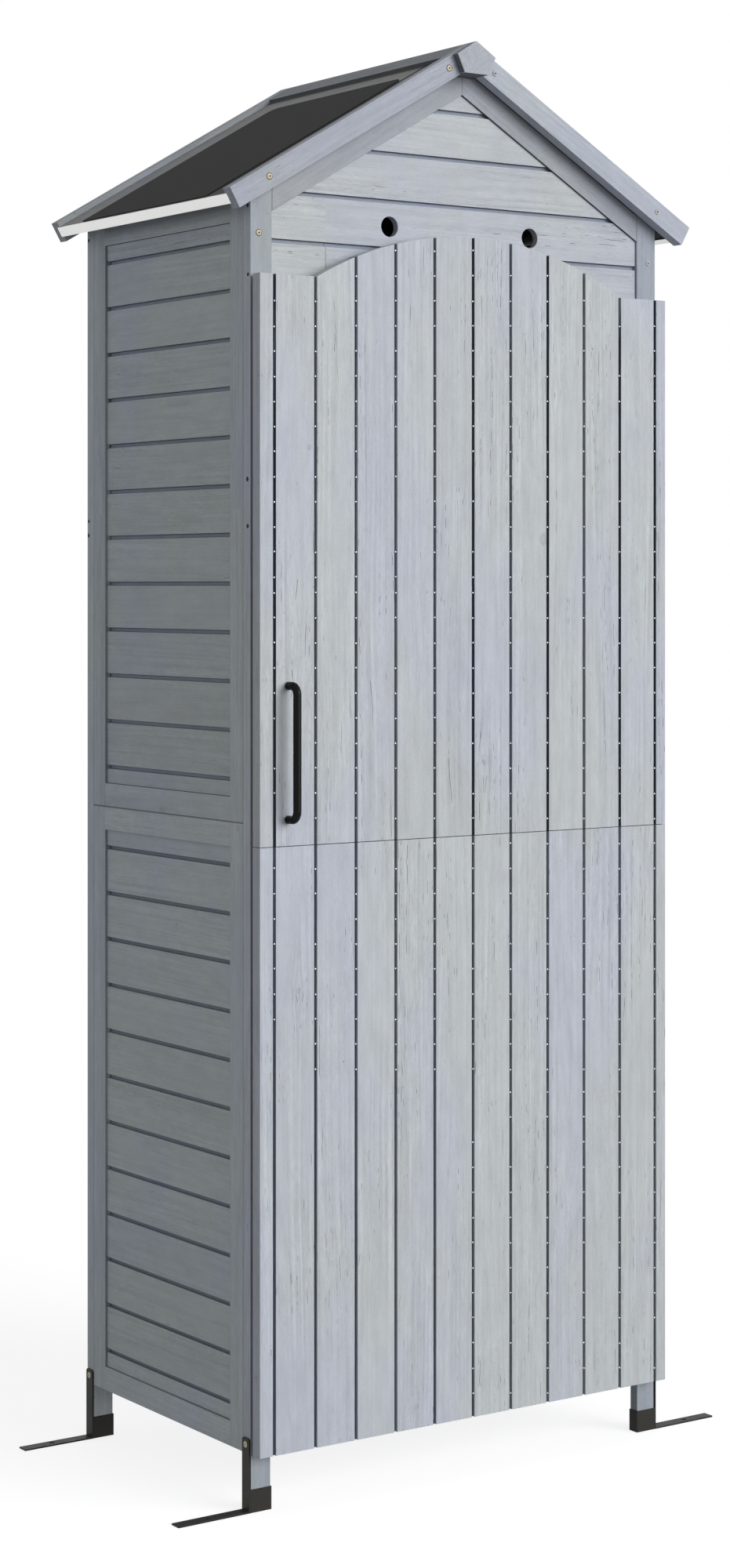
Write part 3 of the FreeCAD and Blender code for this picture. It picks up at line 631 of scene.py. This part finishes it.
EDGES = wood_edges()
WOOD_EDGE = 0.0006
OTHER_EDGE = 0.0004
SAME_POINT = 0.00001
for name, node in nodes.items():
    material = finish_of(name)
    wooden = material.name.startswith("wood")
    node.data.materials.clear()
    node.data.materials.append(material)
    if wooden:
        node.data.materials.append(EDGES)
    if name.startswith("roof_felt"):
        continue
    weld = node.modifiers.new("joined_faces", "WELD")
    weld.merge_threshold = SAME_POINT
    merge = node.modifiers.new("flat_faces", "DECIMATE")
    merge.decimate_type = "DISSOLVE"
    merge.angle_limit = math.radians(1)
    bevel = node.modifiers.new("softened_edges", "BEVEL")
    bevel.width = WOOD_EDGE if wooden else OTHER_EDGE
    bevel.segments = 2
    bevel.limit_method = "ANGLE"
    bevel.angle_limit = math.radians(40)
    bevel.material = 1 if wooden else 0
    node.modifiers.new("even_normals", "WEIGHTED_NORMAL")


# Small hardware: pieces whose finishes are listed as (plain, DARK, PAINTED); DARK is painted
# shade in recesses, rings and pits

DARK = 1
PAINTED = 2
SUNK_DARK = 0.0002


def new_piece(name, mesh, finishes, body):
    bmesh.ops.recalc_face_normals(mesh, faces=mesh.faces[:])
    data = bpy.data.meshes.new(name)
    mesh.to_mesh(data)
    mesh.free()
    for face in data.polygons:
        face.use_smooth = True
    data.set_sharp_from_angle(angle=math.radians(45))
    for finish in finishes:
        data.materials.append(materials[finish])
    piece = bpy.data.objects.new(name, data)
    bpy.context.scene.collection.objects.link(piece)
    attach(piece, body)
    return piece


def turned(mesh, place, outward, rings, segments, relief=None, turn=0.0, finish=0):
    """A turned shape: rings are (radius, height) from its top to its foot along outward.
    relief(x, y), if given, is how far a point of it is sunk, and what is sunk takes the
    finish DARK, painted shade."""
    spin = outward.to_track_quat("Z", "X").to_matrix().to_4x4()
    spin = Matrix.Translation(place) @ spin @ Matrix.Rotation(turn, 4, "Z")
    sunk = {}

    def point(x, y, height):
        depth = relief(x, y) if relief else 0.0
        vert = mesh.verts.new(spin @ Vector((x, y, height - depth)))
        sunk[vert] = depth
        return vert

    def face(*corners):
        deep = min(sunk[vert] for vert in corners) > SUNK_DARK
        mesh.faces.new(corners).material_index = DARK if deep else finish

    angles = [2 * math.pi * i / segments for i in range(segments)]
    loops = []
    for radius, height in rings:
        if radius == 0:
            loops.append([point(0.0, 0.0, height)])
        else:
            loops.append([point(radius * math.cos(a), radius * math.sin(a), height)
                          for a in angles])
    for upper, lower in zip(loops, loops[1:]):
        for i in range(segments):
            j = (i + 1) % segments
            if len(upper) == 1:
                face(upper[0], lower[i], lower[j])
            elif len(lower) == 1:
                face(upper[i], lower[0], upper[j])
            else:
                face(upper[i], lower[i], lower[j], upper[j])


def cross_recess(arm, half_width, depth):
    def relief(x, y):
        short = min(abs(x), abs(y))
        reach = max(abs(x), abs(y))
        across = min(1.0, max(0.0, (half_width - short) / (0.35 * half_width)))
        along = min(1.0, max(0.0, (arm - reach) / (0.5 * arm)))
        return depth * across * along
    return relief


def islands(node):
    """Lowest and highest corners of each separate solid of a CAD node."""
    mesh = bmesh.new()
    mesh.from_mesh(nodes[node].data)
    bmesh.ops.remove_doubles(mesh, verts=mesh.verts[:], dist=1e-6)
    left = set(mesh.verts)
    found = []
    while left:
        stack = [left.pop()]
        points = []
        while stack:
            vert = stack.pop()
            points.append(vert.co.copy())
            for edge in vert.link_edges:
                other = edge.other_vert(vert)
                if other in left:
                    left.remove(other)
                    stack.append(other)
        low = Vector([min(p[i] for p in points) for i in range(3)])
        high = Vector([max(p[i] for p in points) for i in range(3)])
        found.append((low, high))
    mesh.free()
    return sorted(found, key=lambda pair: tuple(round(v, 4) for v in pair[0]))


# Radius and height of a screw head's rings in millimetres, from its middle outwards
SCREW_HEAD = ((0.0, 1.2), (0.25, 1.2), (0.45, 1.2), (0.7, 1.2), (0.95, 1.2), (1.25, 1.2),
              (1.55, 1.19), (1.85, 1.17), (2.2, 1.12), (2.6, 1.03), (3.0, 0.9), (3.4, 0.7),
              (3.65, 0.48), (3.8, 0.25), (3.8, 0.0), (2.0, 0.0))
HEAD_RINGS = [(radius / 1000, height / 1000) for radius, height in SCREW_HEAD]
HEAD_HEIGHT = 0.0012
SEAT_RING = [(0.0, 0.0001), (0.0043, 0.0001), (0.0044, 0.0)]
HEAD_SEGMENTS = 32


def screw(mesh, seat, outward, length, painted=False):
    """A cross-head screw with painted shade in its recess, set in a ring of painted shadow on
    the wood, or stained over like the wood.
    """
    rings = HEAD_RINGS + [(0.002, -length + 0.0022), (0.0, -length + 0.0012)]
    recess = cross_recess(arm=0.0021, half_width=0.0006, depth=0.0007)
    turned(mesh, seat, outward, rings, HEAD_SEGMENTS, recess, random.uniform(0.0, 1.5),
           PAINTED if painted else 0)
    if not painted:
        turned(mesh, seat, outward, SEAT_RING, HEAD_SEGMENTS, finish=DARK)


random.seed(11)
screws = bmesh.new()
for low, high in islands("frame_screws"):
    middle = (low + high) / 2
    axis = 0 if high.x - low.x > high.y - low.y else 1
    sign = 1.0 if middle[axis] > (MID_DEPTH if axis else 0.0) else -1.0
    outward = Vector((sign, 0, 0)) if axis == 0 else Vector((0, sign, 0))
    seat = middle.copy()
    seat[axis] = (high[axis] if sign > 0 else low[axis]) - sign * HEAD_HEIGHT
    stained_over = sign < 0 and middle.x > 0 and axis == 1
    screw(screws, seat, outward, high[axis] - low[axis], stained_over)
detailed_screws = new_piece("cross_head_screws", screws, ("screw", "recess_shade", "painted"),
                            "cabinet")
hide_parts("frame_screws")


# Marks on the left side: nail pits in the posts, as discs of painted shade, and two stained-over
# screws in the stiles with painted shade in their recesses
FRONT_PITS = (1.5624, 1.4799, 1.2352, 1.1790)
REAR_PITS = (1.5570, 1.1914, 1.1730)
FRONT_PIT_DEPTH = POST_FRONT + 0.006
REAR_PIT_DEPTH = 2 * MID_DEPTH - POST_FRONT - 0.0025
STILE_SCREWS = (-0.1572, 0.1845)
STILE_SCREW_HEIGHT = 0.8165
STILE_SCREW_RINGS = [(0.0, 0.0003), (0.002, 0.0003), (0.0032, 0.0002), (0.0038, 0.0)]
pits = bmesh.new()
for y, heights in ((FRONT_PIT_DEPTH, FRONT_PITS), (REAR_PIT_DEPTH, REAR_PITS)):
    for z in heights:
        radius = random.uniform(0.0018, 0.0027)
        turned(pits, Vector((-HALF_WIDTH, y + random.uniform(-0.001, 0.001), z)), LEFT,
               [(0.0, 0.00002), (0.6 * radius, 0.00004), (radius, 0.0001), (1.1 * radius, 0.0)],
               16, finish=DARK)
for y in STILE_SCREWS:
    turned(pits, Vector((-HALF_WIDTH, y, STILE_SCREW_HEIGHT)), LEFT, STILE_SCREW_RINGS, 24,
           cross_recess(arm=0.0022, half_width=0.0008, depth=0.0003), 0.6, PAINTED)
new_piece("post_marks", pits, ("screw", "dark", "painted"), "cabinet")

# A stained-over screw in the door's edge, with painted shade in its recess
EDGE_SCREW = Vector((-HALF_WIDTH, -0.1985, 0.1645))
EDGE_SCREW_RINGS = [(0.0, 0.0008), (0.0012, 0.0008), (0.0026, 0.0006), (0.0037, 0.0002),
                    (0.0038, 0.0)]
edge_screw = bmesh.new()
turned(edge_screw, EDGE_SCREW, LEFT, EDGE_SCREW_RINGS, 24,
       cross_recess(arm=0.0018, half_width=0.0005, depth=0.0004), 0.4, PAINTED)
new_piece("door_edge_screw", edge_screw, ("screw", "recess_shade", "painted"), "door")


def door_top(x):
    """Height of the door's top edge, level at the sides with an arc between."""
    if not ARCH_LEFT < x < ARCH_RIGHT:
        return DOOR_SHOULDER
    half = (ARCH_RIGHT - ARCH_LEFT) / 2
    rise = DOOR_CROWN - DOOR_SHOULDER
    radius = (half * half + rise * rise) / (2 * rise)
    from_middle = x - (ARCH_LEFT + ARCH_RIGHT) / 2
    return DOOR_CROWN - radius + math.sqrt(radius * radius - from_middle * from_middle)


# Nails in the door's grooves, in courses 32 photo pixels apart that run level in the view.
# Each course goes from one row of pixels to another in a range of grooves.
VIEW = Vector((math.sin(VIEW_TURN), math.cos(VIEW_TURN), 0.0))
COURSES = ((320, 321, 3, 5), (352, 737, 0, 10), (756, 1365, 0, 10), (1393, 1778, 6, 10),
           (1457, 1778, 5, 5))
COURSE_STEP = 32
NAIL = [(0.0, 0.0), (0.0007, -0.0001), (0.00115, -0.0004), (0.0012, -0.0006),
        (0.0006, -0.0008), (0.0006, -0.0036), (0.0, -0.0036)]
NAIL_LEFT_OF_EDGE = 0.00135
NAIL_INSET = 0.0009
MISSING_SHARE = 0.12
CLEAR_OF_END = 0.006
nails = bmesh.new()
for first_row, end_row, first_groove, last_groove in COURSES:
    for groove in range(first_groove, last_groove + 1):
        x = SLAT_ORIGIN + groove * BOARD_PITCH - NAIL_LEFT_OF_EDGE
        head_y = DOOR_FRONT + NAIL_INSET
        depth = (Vector((x, head_y, EYE.z)) - EYE).dot(VIEW)
        for row in range(first_row, end_row, COURSE_STEP):
            z = EYE.z - (row - HORIZON_ROW) / FOCAL_PIXELS * depth
            z += random.uniform(-0.0006, 0.0006)
            off = random.uniform(-0.0003, 0.0003)
            sunk = random.uniform(0.0, 0.0004)
            missing = random.random() < MISSING_SHARE
            on_door = DOOR_BOTTOM < z - CLEAR_OF_END < z < door_top(x) - CLEAR_OF_END
            if missing or not on_door or abs(z - DOOR_SPLIT) < CLEAR_OF_END:
                continue
            turned(nails, Vector((x + off, head_y + sunk, z)), FRONT, NAIL, 8)
new_piece("door_nails", nails, ("nail",), "door")


# Camera, floor and light

camera = bpy.data.cameras.new("photo_camera")
camera.sensor_fit = "HORIZONTAL"
camera.sensor_width = 36.0
camera.lens = camera.sensor_width * FOCAL_PIXELS / PHOTO_WIDTH
camera.shift_y = -HORIZON_ABOVE_MIDDLE / PHOTO_WIDTH
camera_object = bpy.data.objects.new("photo_camera", camera)
camera_object.location = EYE
camera_object.rotation_euler = (math.radians(90), 0.0, -VIEW_TURN)
bpy.context.scene.collection.objects.link(camera_object)
bpy.context.scene.camera = camera_object

FLOOR_SIZE = 14.0
FLOOR_GREY = 0.42
FLOOR_GLOW = 0.82
WHITE = (1.0, 1.0, 1.0, 1.0)
floor_mesh = bpy.data.meshes.new("studio_floor")
floor_mesh.from_pydata([(x * FLOOR_SIZE, y * FLOOR_SIZE, 0)
                        for x, y in ((-1, -1), (1, -1), (1, 1), (-1, 1))], [], [(0, 1, 2, 3)])
floor_object = bpy.data.objects.new("studio_floor", floor_mesh)
bpy.context.scene.collection.objects.link(floor_object)
floor_material, f = new_material("pale_floor")
paths = f.node("ShaderNodeLightPath").outputs
seen = f.math("MAXIMUM", paths["Is Camera Ray"], paths["Is Glossy Ray"])
diffuse = f.add("ShaderNodeBsdfDiffuse", {"Color": (FLOOR_GREY, FLOOR_GREY, FLOOR_GREY, 1.0)})
glow = f.add("ShaderNodeEmission", {"Color": WHITE,
                                    "Strength": f.math("MULTIPLY", seen, FLOOR_GLOW)})
finish_material(f, f.add("ShaderNodeAddShader", {0: diffuse, 1: glow}))
floor_mesh.materials.append(floor_material)

# The sky lights the cabinet brighter from the horizon than from above, and is seen white
SKY_AT_HORIZON = 0.55
SKY_ABOVE = 0.14
world = bpy.data.worlds.new("studio")
bpy.context.scene.world = world
world.use_nodes = True
world.node_tree.nodes.clear()
w = Tree(world.node_tree)
paths = w.node("ShaderNodeLightPath").outputs
seen = w.math("MAXIMUM", paths["Is Camera Ray"],
              w.math("MAXIMUM", paths["Is Glossy Ray"], paths["Is Transmission Ray"]))
up = w.math("MAXIMUM", w.split(w.add("ShaderNodeTexCoord"))[2], 0.0)
level = w.step(up, 0.0, 0.9, SKY_AT_HORIZON, SKY_ABOVE)
lit = w.add("ShaderNodeBackground", {"Color": WHITE, "Strength": level})
shown = w.add("ShaderNodeBackground", {"Color": WHITE, "Strength": 1.0})
w.node("ShaderNodeOutputWorld",
       {"Surface": w.add("ShaderNodeMixShader", {0: seen, 1: lit, 2: shown})})

# A broad soft light from the front right that leaves the left side and slope to the sky
KEY_DIRECTION = Vector((-0.44, 0.85, -0.28))
KEY_STRENGTH = 2.38
KEY_WIDTH = math.radians(45)
key = bpy.data.lights.new("key", "SUN")
key.energy = KEY_STRENGTH
key.angle = KEY_WIDTH
key_object = bpy.data.objects.new("key", key)
key_object.rotation_euler = KEY_DIRECTION.to_track_quat("-Z", "Y").to_euler()
bpy.context.scene.collection.objects.link(key_object)

bpy.context.scene.view_settings.view_transform = "Standard"
